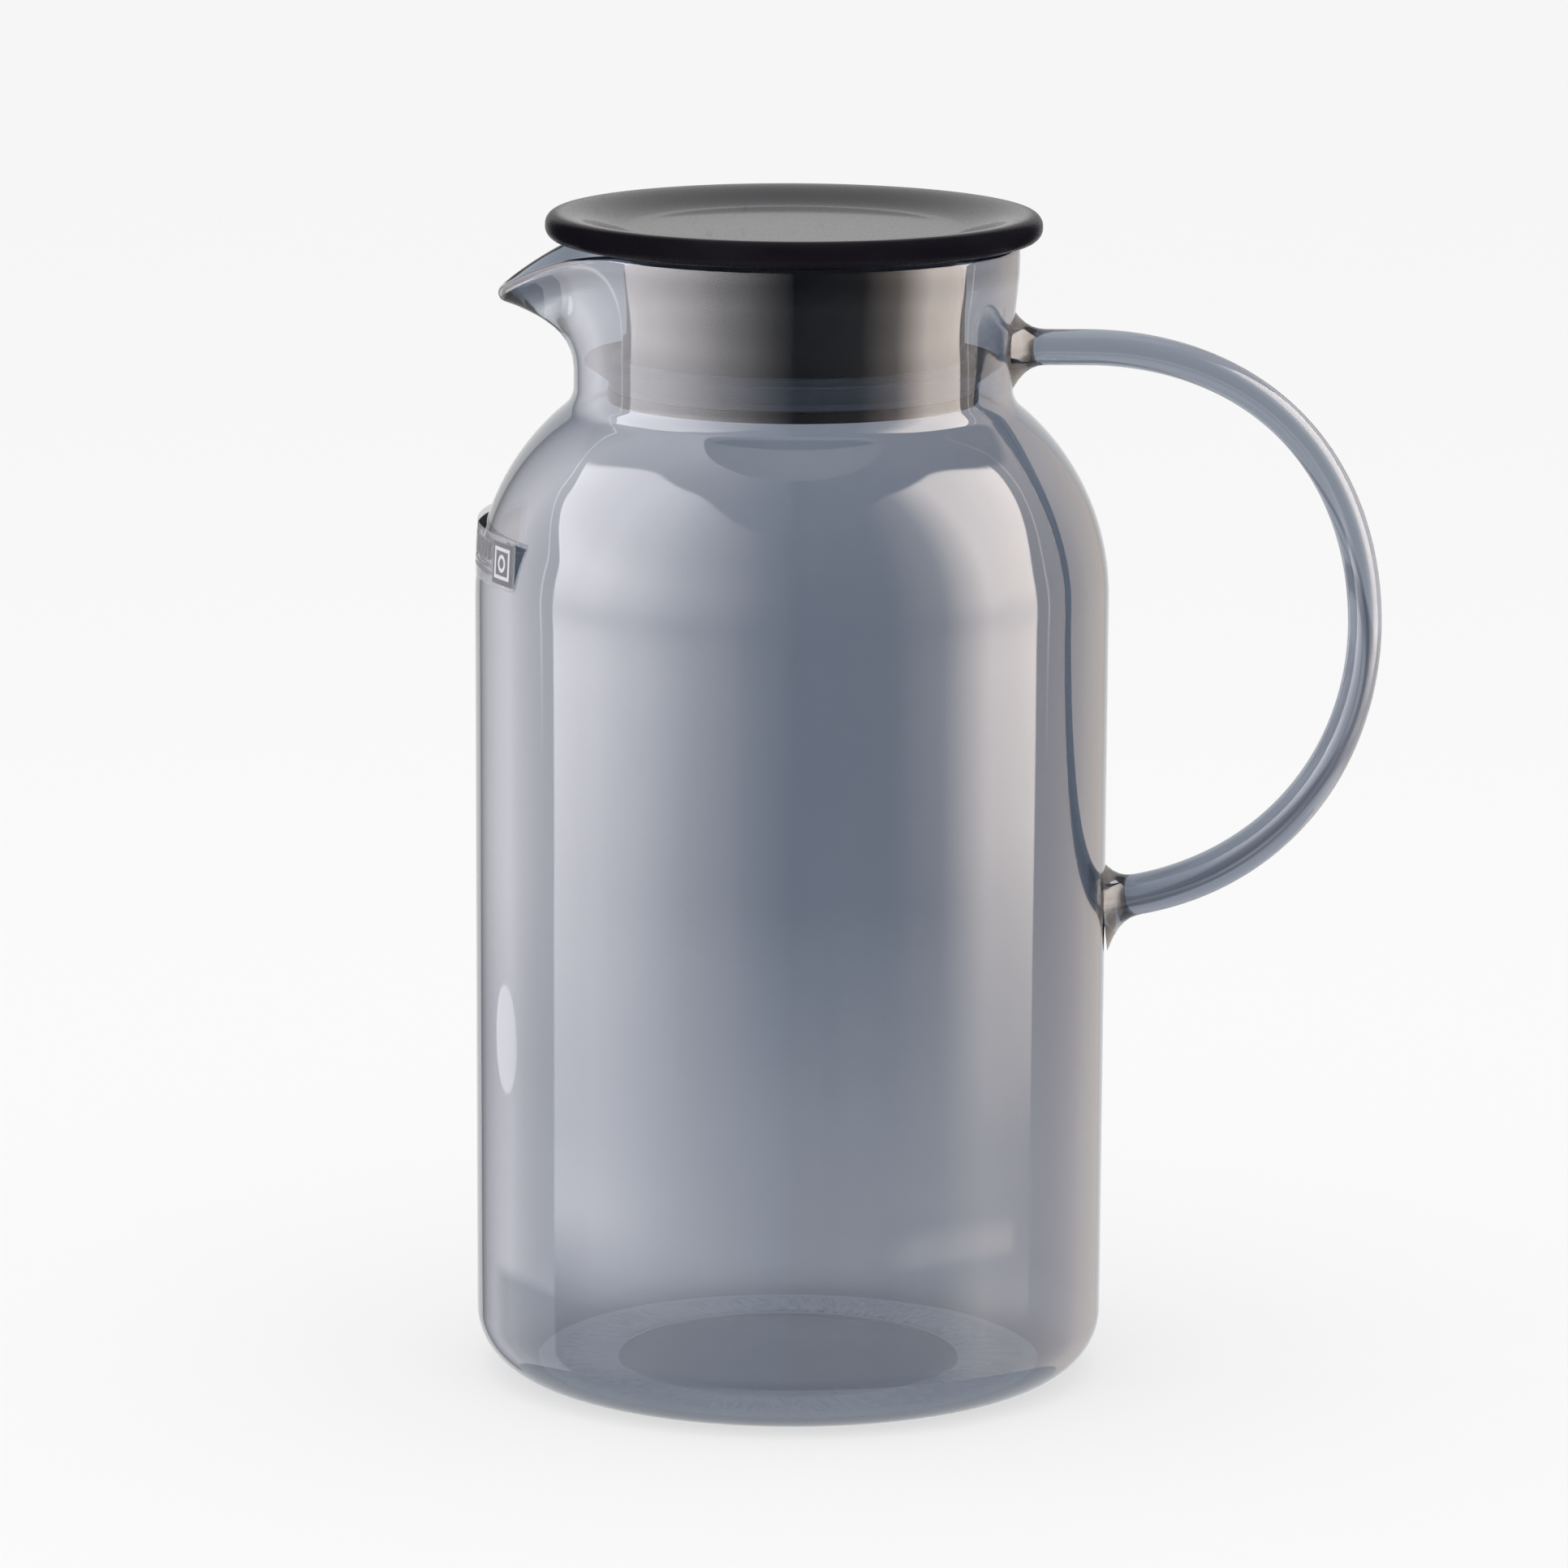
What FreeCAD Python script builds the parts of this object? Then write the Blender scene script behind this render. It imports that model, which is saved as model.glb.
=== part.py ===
"""Large glass water jug with a lift-off lid: a FreeCAD macro in millimetres.

The jug's axis is Z and its foot stands on Z = 0. The handle is on the +X side and the spout on
the -X side. Six pieces: the blown glass body, the glass rod handle welded to it, the printed
side label, the lid's cover, the lid's plug, and the silicone seal ring on the plug.
"""
import FreeCAD, Part
import math
import os

import Sketcher
from FreeCAD import Placement, Rotation, Vector

doc = FreeCAD.newDocument("water_jug")
sheet = doc.addObject("Spreadsheet::Sheet", "dimensions")
sheet_row = 0


class Size:
    """A length or an angle that knows its number and the spreadsheet expression it comes from."""

    def __init__(self, number, words):
        self.number = float(number)
        self.words = words

    @staticmethod
    def of(thing):
        return thing if isinstance(thing, Size) else Size(thing, repr(thing))

    def joined(self, other, sign, number):
        return Size(number, f"({self.words} {sign} {Size.of(other).words})")

    def __add__(self, other):
        return self.joined(other, "+", self.number + Size.of(other).number)

    def __sub__(self, other):
        return self.joined(other, "-", self.number - Size.of(other).number)

    def __mul__(self, other):
        return self.joined(other, "*", self.number * Size.of(other).number)

    def __truediv__(self, other):
        return self.joined(other, "/", self.number / Size.of(other).number)

    def __neg__(self):
        return Size(-self.number, f"(0 - {self.words})")


def cosine(angle):
    return Size(math.cos(math.radians(angle.number)), f"cos({angle.words})")


def sine(angle):
    return Size(math.sin(math.radians(angle.number)), f"sin({angle.words})")


def driving(name, number):
    """One driving dimension: a named cell of the spreadsheet."""
    global sheet_row
    sheet_row += 1
    sheet.set(f"A{sheet_row}", name)
    sheet.set(f"B{sheet_row}", str(number))
    sheet.setAlias(f"B{sheet_row}", name)
    return Size(number, f"dimensions.{name}")


# ---- driving dimensions -------------------------------------------------------------------
# glass body
wall = driving("wall_thickness", 1.9)
floor_thickness = driving("floor_thickness", 2.8)
foot_radius = driving("foot_radius", 50.2)
punt_radius = driving("punt_radius", 34.0)
punt_rise = driving("punt_rise", 2.4)
punt_flat = driving("punt_flat_radius", 8.0)
heel_radius = driving("heel_corner_radius", 12.0)
low_radius = driving("body_radius_at_heel", 62.2)
body_radius = driving("body_radius_at_shoulder", 62.45)
shoulder_z = driving("shoulder_start_height", 155.8)
shoulder_curve = driving("shoulder_curve_radius", 48.0)
shoulder_turn = driving("shoulder_turn_angle", 48.0)
neck_radius = driving("neck_radius", 43.1)
neck_curve = driving("neck_fillet_radius", 5.5)
neck_z = driving("neck_start_height", 197.0)
flare_z = driving("rim_flare_start_height", 216.0)
bead_z = driving("rim_bead_start_height", 223.2)
rim_radius = driving("rim_outer_radius", 44.3)
rim_height = driving("rim_height", 225.9)
# spout
spout_side = driving("spout_root_half_width", 28.2)
spout_root = driving("spout_root_distance", 31.4)
spout_nose = driving("spout_nose_radius", 5.0)
spout_nose_angle = driving("spout_nose_arc_half_angle", 58.0)
spout_reach = driving("spout_reach", 58.2)
spout_floor = driving("spout_floor_thickness", 1.9)
nose_foot = driving("spout_nose_foot_above_tip", 1.5)
# the spout's underside, from the neck outwards: each level's drop below the lip's tip and its
# reach from the jug's axis
spout_levels = [
    (driving(f"spout_level_{number}_drop", drop), driving(f"spout_level_{number}_reach", reach))
    for number, (drop, reach) in enumerate(
        [(12.0, 42.6), (9.0, 44.6), (6.6, 47.4), (4.4, 51.2), (2.6, 55.4), (1.2, 57.6)], start=1)
]
lip_start = driving("lip_droop_start", 31.0)
lip_start_drop = driving("lip_droop_start_drop", 0.2)
lip_curve = driving("lip_droop_curve_radius", 30.0)
lip_bend = driving("lip_droop_bend", 46.0)
lip_bend_z = driving("lip_height_at_bend", 221.8)
lip_tip_z = driving("lip_height_at_tip", 213.9)
# handle
rod = driving("handle_rod_radius", 3.35)
handle_curve = driving("handle_curve_radius", 55.2)
handle_x = driving("handle_curve_centre_x", 57.8)
handle_z = driving("handle_curve_centre_height", 149.8)
handle_sweep = driving("handle_sweep_angle", 177.7)
weld_reach = driving("weld_flare_reach", 6.5)
weld_spread = driving("weld_flare_radius", 7.6)
lower_weld_extra = driving("lower_weld_extra_radius", 0.9)
weld_curve = driving("weld_flare_curve_radius", 6.8)
weld_depth = driving("weld_root_depth", 2.0)
weld_step = driving("weld_edge_below_rod_surface", 0.15)
seat_height = driving("seat_cut_height", 40.0)
# label
label_low = driving("label_bottom_height", 160.6)
label_high = driving("label_top_height", 170.8)
label_thickness = driving("label_thickness", 0.15)
label_arc = driving("label_wrap_angle", 58.0)
label_lean = driving("label_top_inset", 0.5)
# lid
lid_radius = driving("lid_radius", 48.7)
lid_under = driving("lid_underside_height", 226.2)
lid_height = driving("lid_thickness", 5.2)
lid_edge = driving("lid_edge_radius", 2.4)
dish_radius = driving("dish_radius", 33.0)
dish_depth = driving("dish_depth", 2.9)
brim_radius = driving("dish_brim_radius", 45.0)
brim_drop = driving("dish_brim_drop", 0.15)
# plug
plug_radius = driving("plug_radius", 33.5)
plug_wall = driving("plug_wall_thickness", 1.9)
plug_bottom = driving("plug_bottom_height", 194.7)
flange_radius = driving("plug_flange_radius", 36.4)
flange_height = driving("plug_flange_thickness", 2.3)
window_width = driving("pour_window_width", 18.0)
window_low = driving("pour_window_bottom_height", 206.5)
window_high = driving("pour_window_top_height", 221.5)
slit_width = driving("strainer_slit_width", 2.2)
slit_pitch = driving("strainer_slit_pitch", 4.2)
slit_places = (-2, -1, 0, 1, 2)
# seal
fit_gap = driving("seal_running_gap", 0.1)
sleeve_radius = driving("seal_sleeve_radius", 36.2)
sleeve_top = driving("seal_sleeve_top_height", 203.4)
sleeve_taper = driving("seal_sleeve_top_taper", 0.6)
fin_radius = driving("seal_fin_radius", 41.0)
fin_root = driving("seal_fin_root_height", 199.4)
fin_tip = driving("seal_fin_tip_height", 202.1)
fin_tip_thickness = driving("seal_fin_tip_thickness", 0.8)
fin_root_thickness = driving("seal_fin_root_thickness", 1.8)
# cuts
cut_length = driving("through_cut_length", 160.0)
clearance = driving("cutter_clearance", 6.0)
doc.recompute()


# ---- sketching ----------------------------------------------------------------------------
def new_body(label):
    body = doc.addObject("PartDesign::Body", label)
    body.Label = label
    return body


def origin_item(body, role):
    return [item for item in body.Origin.OriginFeatures if item.Role == role][0]


def new_sketch(body, name, role="XZ_Plane", origin=(0, 0, 0)):
    """A sketch on one of the body's own planes, its origin moved along the sketch's own axes."""
    sketch = body.newObject("Sketcher::SketchObject", name)
    sketch.AttachmentSupport = [(origin_item(body, role), "")]
    sketch.MapMode = "FlatFace"
    places = [Size.of(place) for place in origin]
    sketch.AttachmentOffset = Placement(Vector(*(place.number for place in places)), Rotation())
    for axis, place in zip("xyz", places):
        if place.number:
            sketch.setExpression(f".AttachmentOffset.Base.{axis}", place.words)
    return sketch


def bind(sketch, constraint, size):
    index = sketch.addConstraint(constraint)
    sketch.setExpression(f"Constraints[{index}]", size.words)


def place_point(sketch, edge, end, x, y):
    """Holds an edge's end at x, y with two driven distances from the sketch's origin."""
    for kind, size in (("DistanceX", x), ("DistanceY", y)):
        size = Size.of(size)
        if abs(size.number) < 1e-9:
            line = -2 if kind == "DistanceX" else -1
            sketch.addConstraint(Sketcher.Constraint("PointOnObject", edge, end, line))
        else:
            bind(sketch, Sketcher.Constraint(kind, -1, 1, edge, end, size.number), size)


def outline(sketch, points):
    """Draws a closed chain of edges. A point is (x, y) for a straight edge to the next point, or
    (x, y, radius, side) for an arc to it: side is +1 where the arc bulges to the right of the
    way along the chain, and -1 where it bulges to the left."""
    first = sketch.GeometryCount
    count = len(points)
    starts = []
    for here, there in zip(points, points[1:] + points[:1]):
        a = Vector(Size.of(here[0]).number, Size.of(here[1]).number, 0)
        b = Vector(Size.of(there[0]).number, Size.of(there[1]).number, 0)
        if len(here) == 2:
            sketch.addGeometry(Part.LineSegment(a, b), False)
            starts.append((1, 2))
            continue
        radius, side = here[2], here[3]
        chord = b - a
        rise = math.sqrt(radius.number ** 2 - (chord.Length / 2) ** 2)
        right = Vector(chord.y, -chord.x, 0).normalize()
        centre = a + chord * 0.5 - right * (side * rise)
        sketch.addGeometry(Part.Arc(a, centre + right * (side * radius.number), b), False)
        starts.append((1, 2) if side > 0 else (2, 1))
    for i in range(count):
        start, end = starts[i]
        place_point(sketch, first + i, start, points[i][0], points[i][1])
        after = (i + 1) % count
        sketch.addConstraint(
            Sketcher.Constraint("Coincident", first + i, end, first + after, starts[after][0]))
        if len(points[i]) > 2:
            radius = points[i][2]
            bind(sketch, Sketcher.Constraint("Radius", first + i, radius.number), radius)


def revolved(body, sketch, name, angle=None):
    """Turns a sketch about the jug's axis, all the way round unless an angle is given."""
    feature = body.newObject("PartDesign::Revolution", name)
    feature.Profile = sketch
    feature.ReferenceAxis = (origin_item(body, "Z_Axis"), [""])
    feature.Angle = 360
    if angle is not None:
        feature.Midplane = True
        feature.setExpression("Angle", angle.words)


def cut(body, sketch, name, length, way):
    """A pocket this long: way is +1 along the sketch's normal, -1 against it, and 0 for half of
    the length on each side."""
    feature = body.newObject("PartDesign::Pocket", name)
    feature.Profile = sketch
    feature.Length = length.number
    feature.setExpression("Length", length.words)
    feature.Midplane = way == 0
    feature.Reversed = way > 0


def rectangle(sketch, left, right, low, high):
    outline(sketch, [(left, low), (right, low), (right, high), (left, high)])


def circle(sketch, radius, x=0, y=0):
    middle = Vector(Size.of(x).number, Size.of(y).number, 0)
    edge = sketch.addGeometry(Part.Circle(middle, Vector(0, 0, 1), radius.number), False)
    place_point(sketch, edge, 3, x, y)
    bind(sketch, Sketcher.Constraint("Radius", edge, radius.number), radius)


# ---- glass body ---------------------------------------------------------------------------
def glass_profile(sketch):
    """The shell's section: up the outside from the punt to the rim, and back down inside."""
    shoulder_x = body_radius - shoulder_curve
    turn_x = shoulder_x + shoulder_curve * cosine(shoulder_turn)
    turn_z = shoulder_z + shoulder_curve * sine(shoulder_turn)
    neck_centre = neck_radius + neck_curve
    neck_turn_x = neck_centre - neck_curve * cosine(shoulder_turn)
    neck_turn_z = neck_z - neck_curve * sine(shoulder_turn)
    inner_shoulder = shoulder_curve - wall
    inner_turn_x = shoulder_x + inner_shoulder * cosine(shoulder_turn)
    inner_turn_z = shoulder_z + inner_shoulder * sine(shoulder_turn)
    inner_neck = neck_curve + wall
    inner_neck_turn_x = neck_centre - inner_neck * cosine(shoulder_turn)
    inner_neck_turn_z = neck_z - inner_neck * sine(shoulder_turn)
    bead_radius = (rim_radius - neck_radius + wall) / 2
    inner_heel = heel_radius - floor_thickness
    punt_run = punt_radius - punt_flat
    punt_curve = (punt_run * punt_run + punt_rise * punt_rise) / (punt_rise * 2)
    outline(sketch, [
        (0, punt_rise),
        (punt_flat, punt_rise, punt_curve, -1),
        (punt_radius, 0),
        (foot_radius, 0, heel_radius, 1),
        (low_radius, heel_radius),
        (body_radius, shoulder_z, shoulder_curve, 1),
        (turn_x, turn_z),
        (neck_turn_x, neck_turn_z, neck_curve, -1),
        (neck_radius, neck_z),
        (neck_radius, flare_z),
        (rim_radius, bead_z),
        (rim_radius, rim_height - bead_radius, bead_radius, 1),
        (neck_radius - wall, rim_height - bead_radius),
        (neck_radius - wall, neck_z, inner_neck, 1),
        (inner_neck_turn_x, inner_neck_turn_z),
        (inner_turn_x, inner_turn_z, inner_shoulder, -1),
        (body_radius - wall, shoulder_z),
        (foot_radius + inner_heel, heel_radius, inner_heel, -1),
        (foot_radius, floor_thickness),
        (punt_radius, floor_thickness, punt_curve, 1),
        (punt_flat, floor_thickness + punt_rise),
        (0, floor_thickness + punt_rise),
    ])


def spout_loft(body, kind, name, levels, inset):
    """A stack of blunt wedges, each from the neck's wall out to the spout's nose."""
    root = -(spout_root - inset)
    side = spout_side - inset
    nose = spout_nose - inset
    sections = []
    for number, (height, reach) in enumerate(levels, start=1):
        sketch = new_sketch(body, f"{name}_section_{number}", "XY_Plane", (0, 0, height))
        nose_x = -(reach - inset - nose) - nose * cosine(spout_nose_angle)
        nose_y = nose * sine(spout_nose_angle)
        outline(sketch, [(root, -side), (root, side), (nose_x, nose_y, nose, 1),
                         (nose_x, -nose_y)])
        sections.append(sketch)
    loft = body.newObject(kind, name)
    loft.Profile = sections[0]
    loft.Sections = sections[1:]
    loft.Ruled = True


def make_glass_body():
    body = new_body("glass_body")
    profile = new_sketch(body, "shell_section")
    glass_profile(profile)
    revolved(body, profile, "blown_shell")
    # the spout's underside runs out from the neck nearly level and then turns up to its nose
    levels = [(lip_tip_z - drop, reach) for drop, reach in spout_levels]
    levels += [(lip_tip_z + nose_foot, spout_reach), (rim_height, spout_reach)]
    spout_loft(body, "PartDesign::AdditiveLoft", "spout_outside", levels, Size.of(0))
    bore = new_sketch(body, "neck_bore_section", "XY_Plane", (0, 0, neck_z))
    circle(bore, neck_radius - wall)
    cut(body, bore, "neck_bore", cut_length, 1)
    raised = [(height + spout_floor, reach) for height, reach in levels]
    spout_loft(body, "PartDesign::SubtractiveLoft", "spout_channel", raised, wall)
    # the lip droops from the rim down to the nose
    lip = new_sketch(body, "lip_section")
    above = rim_height + clearance
    beyond = spout_reach + clearance
    fall = (lip_bend_z - lip_tip_z) / (spout_reach - lip_bend)
    outline(lip, [
        (-lip_start, rim_height - lip_start_drop, lip_curve, 1),
        (-lip_bend, lip_bend_z),
        (-beyond, lip_bend_z - fall * (beyond - lip_bend)),
        (-beyond, above),
        (-lip_start, above),
    ])
    cut(body, lip, "lip", cut_length, 0)
    return body


# ---- handle -------------------------------------------------------------------------------
def weld_flare(body, name, height, wall_radius, spread):
    """The trumpet where the softened rod was pressed on to the wall, turned about the rod."""
    sketch = new_sketch(body, f"{name}_section", "XZ_Plane", (0, height, 0))
    inside = wall_radius - weld_depth
    outline(sketch, [
        (inside, 0),
        (wall_radius + weld_reach, 0),
        (wall_radius + weld_reach, rod - weld_step, weld_curve, -1),
        (wall_radius, spread),
        (inside, spread),
    ])
    flare = body.newObject("PartDesign::Revolution", name)
    flare.Profile = sketch
    flare.ReferenceAxis = (sketch, ["H_Axis"])
    flare.Angle = 360


def make_handle():
    """One rod: straight out from the neck, then round in an arc to the side of the body."""
    body = new_body("glass_handle")
    top_z = handle_z + handle_curve
    low_z = handle_z + handle_curve * cosine(handle_sweep)
    start_x = neck_radius - weld_depth
    stub = new_sketch(body, "stub_section", "YZ_Plane", (0, 0, start_x))
    circle(stub, rod, 0, top_z)
    straight = body.newObject("PartDesign::Pad", "straight_stub")
    straight.Profile = stub
    straight.Length = (handle_x - start_x).number
    straight.setExpression("Length", (handle_x - start_x).words)
    section = new_sketch(body, "bend_section", "YZ_Plane", (0, handle_z, handle_x))
    circle(section, rod, 0, handle_curve)
    bend = body.newObject("PartDesign::Revolution", "bend")
    bend.Profile = section
    bend.ReferenceAxis = (section, ["H_Axis"])
    bend.setExpression("Angle", handle_sweep.words)
    weld_flare(body, "upper_weld", top_z, neck_radius, weld_spread)
    weld_flare(body, "lower_weld", low_z, body_radius, weld_spread + lower_weld_extra)
    # the ends stop at the glass that they are fused to
    for name, radius, height in (("neck_seat", neck_radius, top_z),
                                 ("wall_seat", body_radius, low_z)):
        seat = new_sketch(body, f"{name}_section", "XY_Plane", (0, 0, height))
        circle(seat, radius)
        cut(body, seat, name, seat_height, 0)
    return body


# ---- label --------------------------------------------------------------------------------
def make_label():
    """A clear film strip round the spout side, standing off the shoulder along its top edge."""
    body = new_body("side_label")
    section = new_sketch(body, "film_section")
    foot = body_radius - label_thickness
    outline(section, [
        (-foot, label_low),
        (-(foot + label_thickness), label_low),
        (-(foot + label_thickness - label_lean), label_high),
        (-(foot - label_lean), label_high),
    ])
    revolved(body, section, "film", angle=label_arc)
    return body


# ---- lid ----------------------------------------------------------------------------------
def make_lid_cover():
    """The moulded disc: flat below, a rounded edge, and a shallow dish on top."""
    body = new_body("lid_cover")
    section = new_sketch(body, "disc_section")
    top = lid_under + lid_height
    outline(section, [
        (0, lid_under),
        (lid_radius - lid_edge, lid_under, lid_edge, 1),
        (lid_radius, lid_under + lid_edge),
        (lid_radius, top - lid_edge, lid_edge, 1),
        (lid_radius - lid_edge, top),
        (brim_radius, top - brim_drop),
        (dish_radius, top - dish_depth),
        (0, top - dish_depth),
    ])
    revolved(body, section, "disc")
    return body


def make_lid_plug():
    """The skirt that hangs into the neck, open below, with a flange that holds the seal."""
    body = new_body("lid_plug")
    section = new_sketch(body, "skirt_section")
    bore = plug_radius - plug_wall
    outline(section, [
        (bore, plug_bottom),
        (flange_radius, plug_bottom),
        (flange_radius, plug_bottom + flange_height),
        (plug_radius, plug_bottom + flange_height),
        (plug_radius, lid_under),
        (bore, lid_under),
    ])
    revolved(body, section, "skirt")
    window = new_sketch(body, "window_section", "YZ_Plane")
    half = window_width / 2
    rectangle(window, -half, half, window_low, window_high)
    cut(body, window, "pour_window", cut_length, -1)
    slits = new_sketch(body, "slit_section", "YZ_Plane")
    for place in slit_places:
        middle = slit_pitch * place
        rectangle(slits, middle - slit_width / 2, middle + slit_width / 2, window_low,
                  window_high)
    cut(body, slits, "strainer_slits", cut_length, 1)
    return body


def make_seal():
    """The silicone ring on the plug: a sleeve with one thin fin that wipes the neck."""
    body = new_body("seal_ring")
    section = new_sketch(body, "ring_section")
    bore = plug_radius + fit_gap
    base = plug_bottom + flange_height + fit_gap
    outline(section, [
        (bore, base),
        (sleeve_radius, base),
        (sleeve_radius, fin_root - fin_root_thickness / 2),
        (fin_radius, fin_tip),
        (fin_radius, fin_tip + fin_tip_thickness),
        (sleeve_radius, fin_root + fin_root_thickness / 2),
        (sleeve_radius - sleeve_taper, sleeve_top),
        (bore, sleeve_top),
    ])
    revolved(body, section, "ring")
    return body


# ---- build, check and write ---------------------------------------------------------------
bodies = [make_glass_body(), make_handle(), make_label(), make_lid_cover(), make_lid_plug(),
          make_seal()]
doc.recompute()

for thing in doc.Objects:
    broken = [word for word in thing.State if word in ("Invalid", "Error")]
    if broken:
        raise RuntimeError(f"{thing.Label}: {broken}")
for body in bodies:
    if body.Shape.isNull() or not body.Shape.isValid() or len(body.Shape.Solids) != 1:
        raise RuntimeError(f"{body.Label}: not one valid solid")

os.makedirs("parts", exist_ok=True)
for body in bodies:
    body.Shape.exportStep(f"parts/{body.Label}.step")
    box = body.Shape.optimalBoundingBox()
    print(f"{body.Label}: {body.Shape.Volume:.1f} mm3, X {box.XMin:.2f} to {box.XMax:.2f}, "
          f"Y {box.YMin:.2f} to {box.YMax:.2f}, Z {box.ZMin:.2f} to {box.ZMax:.2f}")
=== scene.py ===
"""Large smoke-glass water jug with a lift-off lid, dressed round its CAD frame, in metres.

The jug's axis is Z and its foot stands on Z = 0; the handle is on the +X side and the spout on
the -X side. The sections follow the jug as it is put together: the glass body, its handle, the
side label, the lid's plug, its seal, the lid's cover, and last the studio.
"""
import math

import bpy
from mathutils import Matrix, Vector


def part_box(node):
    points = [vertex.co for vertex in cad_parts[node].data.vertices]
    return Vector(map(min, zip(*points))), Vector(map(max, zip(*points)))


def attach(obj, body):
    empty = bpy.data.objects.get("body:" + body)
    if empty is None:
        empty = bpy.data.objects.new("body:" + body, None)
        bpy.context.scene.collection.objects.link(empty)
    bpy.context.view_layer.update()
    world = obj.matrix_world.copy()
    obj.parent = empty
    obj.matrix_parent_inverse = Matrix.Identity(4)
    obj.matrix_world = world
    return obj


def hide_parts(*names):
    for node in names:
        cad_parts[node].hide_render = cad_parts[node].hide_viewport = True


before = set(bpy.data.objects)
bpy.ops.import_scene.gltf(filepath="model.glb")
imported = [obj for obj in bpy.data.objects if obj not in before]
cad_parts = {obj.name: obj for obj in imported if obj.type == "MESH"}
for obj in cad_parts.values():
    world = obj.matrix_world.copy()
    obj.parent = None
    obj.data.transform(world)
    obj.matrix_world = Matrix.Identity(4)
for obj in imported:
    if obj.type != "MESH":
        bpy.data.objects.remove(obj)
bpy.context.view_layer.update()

# ---- glass body ---------------------------------------------------------------------------
# The body is one piece of smoke-grey borosilicate glass, blown and turned in a mould. Its rim is
# fire-polished to a round bead, and the spout is pulled out of the neck while it is soft.
MM = 0.001
body_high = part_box("glass_body")[1]
body_radius = body_high.y
rim_height = body_high.z
heel_wall_radius = body_radius - 0.25 * MM
foot_radius = 50.2 * MM
heel_radius = 12.0 * MM
punt_radius = 34.0 * MM
punt_rise = 2.4 * MM
floor_wall, heel_wall, waist_wall, neck_wall = 1.5 * MM, 1.8 * MM, 2.2 * MM, 1.6 * MM
shoulder_height = 155.8 * MM
shoulder_curve = 48.0 * MM
shoulder_turn = math.radians(48.0)
neck_radius = 43.1 * MM
neck_curve = 5.5 * MM
neck_height = 197.0 * MM
flare_height = 206.0 * MM
rim_radius = 44.3 * MM
rim_thickness = 2.6 * MM
bead_start = 218.0 * MM
# the spout: where it leaves the neck, half of its width, the radius of its nose, how far it falls
# for each millimetre that it reaches, how much of that fall is even on the way up, how much
# thinner its wall is drawn, and what its bead gains
spout_height = 200.0 * MM
spout_half_angle = math.radians(42.2)
spout_nose = 5.0 * MM
spout_droop = 0.87
spout_fall_even = 0.47
spout_thinning = 0.5
spout_bead = 0.9 * MM


def arc(centre, radius, start, end, count):
    """Points of an arc after its first one; angles are in radians, up from the outward side."""
    turns = [start + (end - start) * step / count for step in range(1, count + 1)]
    return [(centre[0] + radius * math.cos(a), centre[1] + radius * math.sin(a)) for a in turns]


def straight(start, end, count):
    """Points of a straight run after its first one."""
    steps = [step / count for step in range(1, count + 1)]
    return [tuple(a + (b - a) * s for a, b in zip(start, end)) for s in steps]


def eased(value):
    """0 below 0 and 1 above 1, with a smooth rise between."""
    value = min(max(value, 0.0), 1.0)
    return value * value * (3.0 - 2.0 * value)


def body_outline():
    """The outer face from the middle of the punt up to the rim, as (radius, height)."""
    shoulder_centre = (body_radius - shoulder_curve, shoulder_height)
    neck_centre = (neck_radius + neck_curve, neck_height)
    neck_turn = (neck_centre[0] - neck_curve * math.cos(shoulder_turn),
                 neck_centre[1] - neck_curve * math.sin(shoulder_turn))
    shares = [step / 12 for step in range(13)]
    points = [(punt_radius * share, punt_rise * (1.0 - share ** 2)) for share in shares]
    points += straight(points[-1], (punt_radius + 0.3 * MM, 0.0), 1)
    points += straight(points[-1], (foot_radius, 0.0), 5)
    points += arc((foot_radius, heel_radius), heel_radius, -math.pi / 2, 0.0, 16)
    points += straight((heel_wall_radius, heel_radius), (body_radius, shoulder_height), 12)
    points += arc(shoulder_centre, shoulder_curve, 0.0, shoulder_turn, 20)
    points += straight(points[-1], neck_turn, 2)
    points += arc(neck_centre, neck_curve, math.pi + shoulder_turn, math.pi, 10)
    points += straight((neck_radius, neck_height), (neck_radius, flare_height), 9)
    top = rim_height - rim_thickness / 2
    for step in range(1, 9):
        share = step / 8
        radius = neck_radius + (rim_radius - neck_radius) * eased(share * 1.15)
        points.append((radius, flare_height + (top - flare_height) * share))
    return points


def spout_reach(angle):
    """How far the lip is pulled beyond the round rim, at this angle from the spout's middle."""
    if angle >= spout_half_angle:
        return 0.0
    tip = rim_radius / math.cos(spout_half_angle)
    nose_centre = tip - spout_nose / math.cos(spout_half_angle)
    nose_end = math.atan2(spout_nose * math.sin(spout_half_angle),
                          nose_centre + spout_nose * math.cos(spout_half_angle))
    if angle < nose_end:
        across = nose_centre * math.sin(angle)
        radius = nose_centre * math.cos(angle) + math.sqrt(spout_nose ** 2 - across ** 2)
    else:
        radius = rim_radius / math.cos(spout_half_angle - angle)
    return radius - rim_radius


def pulled(points, reach):
    """The outline with the neck above spout_height drawn out to the lip, and down with it."""
    moved = []
    for radius, height in points:
        share = max((height - spout_height) / (rim_height - spout_height), 0.0)
        fall = spout_fall_even * share + (1.0 - spout_fall_even) * share ** 2
        drop = spout_droop * reach * fall
        moved.append((radius + reach * share ** 2, height - drop))
    return moved


def wall_at(height):
    """The glass's thickness: thin in the floor and the neck, thickest high on the side."""
    thick = floor_wall + (heel_wall - floor_wall) * eased(height / heel_radius)
    thick += (waist_wall - heel_wall) * eased((height - 2 * heel_radius) / (shoulder_height / 2))
    thinned = (height - shoulder_height) / (neck_height - shoulder_height)
    return thick + (neck_wall - waist_wall) * eased(thinned)


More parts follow.
